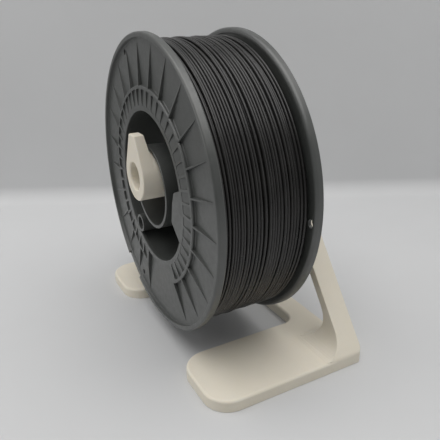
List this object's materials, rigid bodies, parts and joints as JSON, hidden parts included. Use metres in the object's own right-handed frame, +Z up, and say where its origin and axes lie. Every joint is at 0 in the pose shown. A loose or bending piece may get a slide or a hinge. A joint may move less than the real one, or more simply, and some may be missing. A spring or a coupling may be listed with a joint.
{
  "type": "spool holder stand",
  "caption": "Printed U-base and A-frame stand with a hollow upturned-nose spindle, carrying a full filament spool that turns on it.",
  "frame": {"origin": "at floor level, in the middle of the assembly's footprint", "axes": "+Z up; the spool's axis runs along X, with the spindle's nose end facing -X and the A-frame upright at +X; +Y is to the right seen from behind the upright"},
  "size_m": [0.1154, 0.209, 0.2147],
  "materials": {
    "cream_print": "matt, off-white printed plastic",
    "spool_plastic": "satin, dark grey moulded plastic",
    "filament": "satin, near-black filament strands",
    "bolt_steel": "zinc-plated"
  },
  "bodies": {
    "stand": {"frame": "cream_print", "spindle_nose": "cream_print", "spindle_tube": "cream_print", "spindle_tail": "cream_print", "spindle_bolt": "bolt_steel", "bolt_washer": "bolt_steel", "bolt_nut": "bolt_steel"},
    "spool": {"near_flange": "spool_plastic", "near_drum": "spool_plastic", "near_hub": "spool_plastic", "far_flange": "spool_plastic", "far_drum": "spool_plastic", "far_hub": "spool_plastic", "filament_winding": "filament"}
  },
  "joints": [
    {"name": "spool_spin", "type": "hinge", "parent": "stand", "child": "spool", "pos_m": [-0.01305, 0, 0.1147], "axis": [1, 0, 0], "continuous": true}
  ]
}
